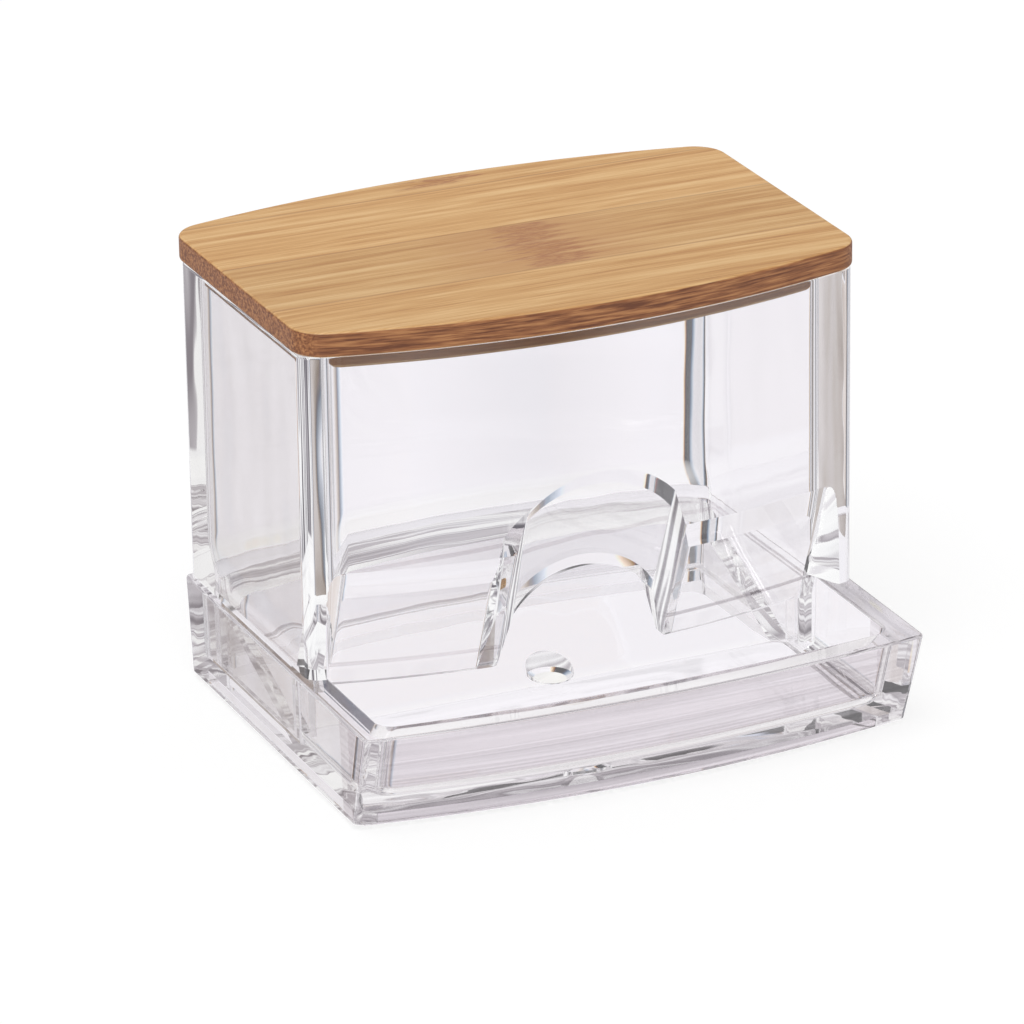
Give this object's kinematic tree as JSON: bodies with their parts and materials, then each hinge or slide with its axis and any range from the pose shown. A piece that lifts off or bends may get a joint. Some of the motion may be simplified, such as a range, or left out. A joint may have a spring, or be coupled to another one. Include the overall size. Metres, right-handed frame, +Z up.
{
  "type": "cotton swab dispenser",
  "caption": "Clear bow-fronted box with a bamboo lid: swabs roll down a ramp and out under its arched front panel into a shallow tray.",
  "frame": {"origin": "on the surface the dispenser stands on, under the middle of its bounding box", "axes": "+X to the right as seen from the front, +Y to the back, the tray towards -Y, +Z up"},
  "size_m": [0.092, 0.082, 0.073],
  "materials": {
    "clear_plastic": "clear, polished",
    "bamboo": "bamboo with a satin oil finish"
  },
  "bodies": {
    "body": {"base_tray": "clear_plastic", "hopper": "clear_plastic"},
    "lid": {"lid": "bamboo"}
  },
  "joints": [
    {"name": "lid_lift", "type": "slide", "parent": "body", "child": "lid", "axis": [0, 0, 1], "range_m": [0, 0.04]}
  ]
}
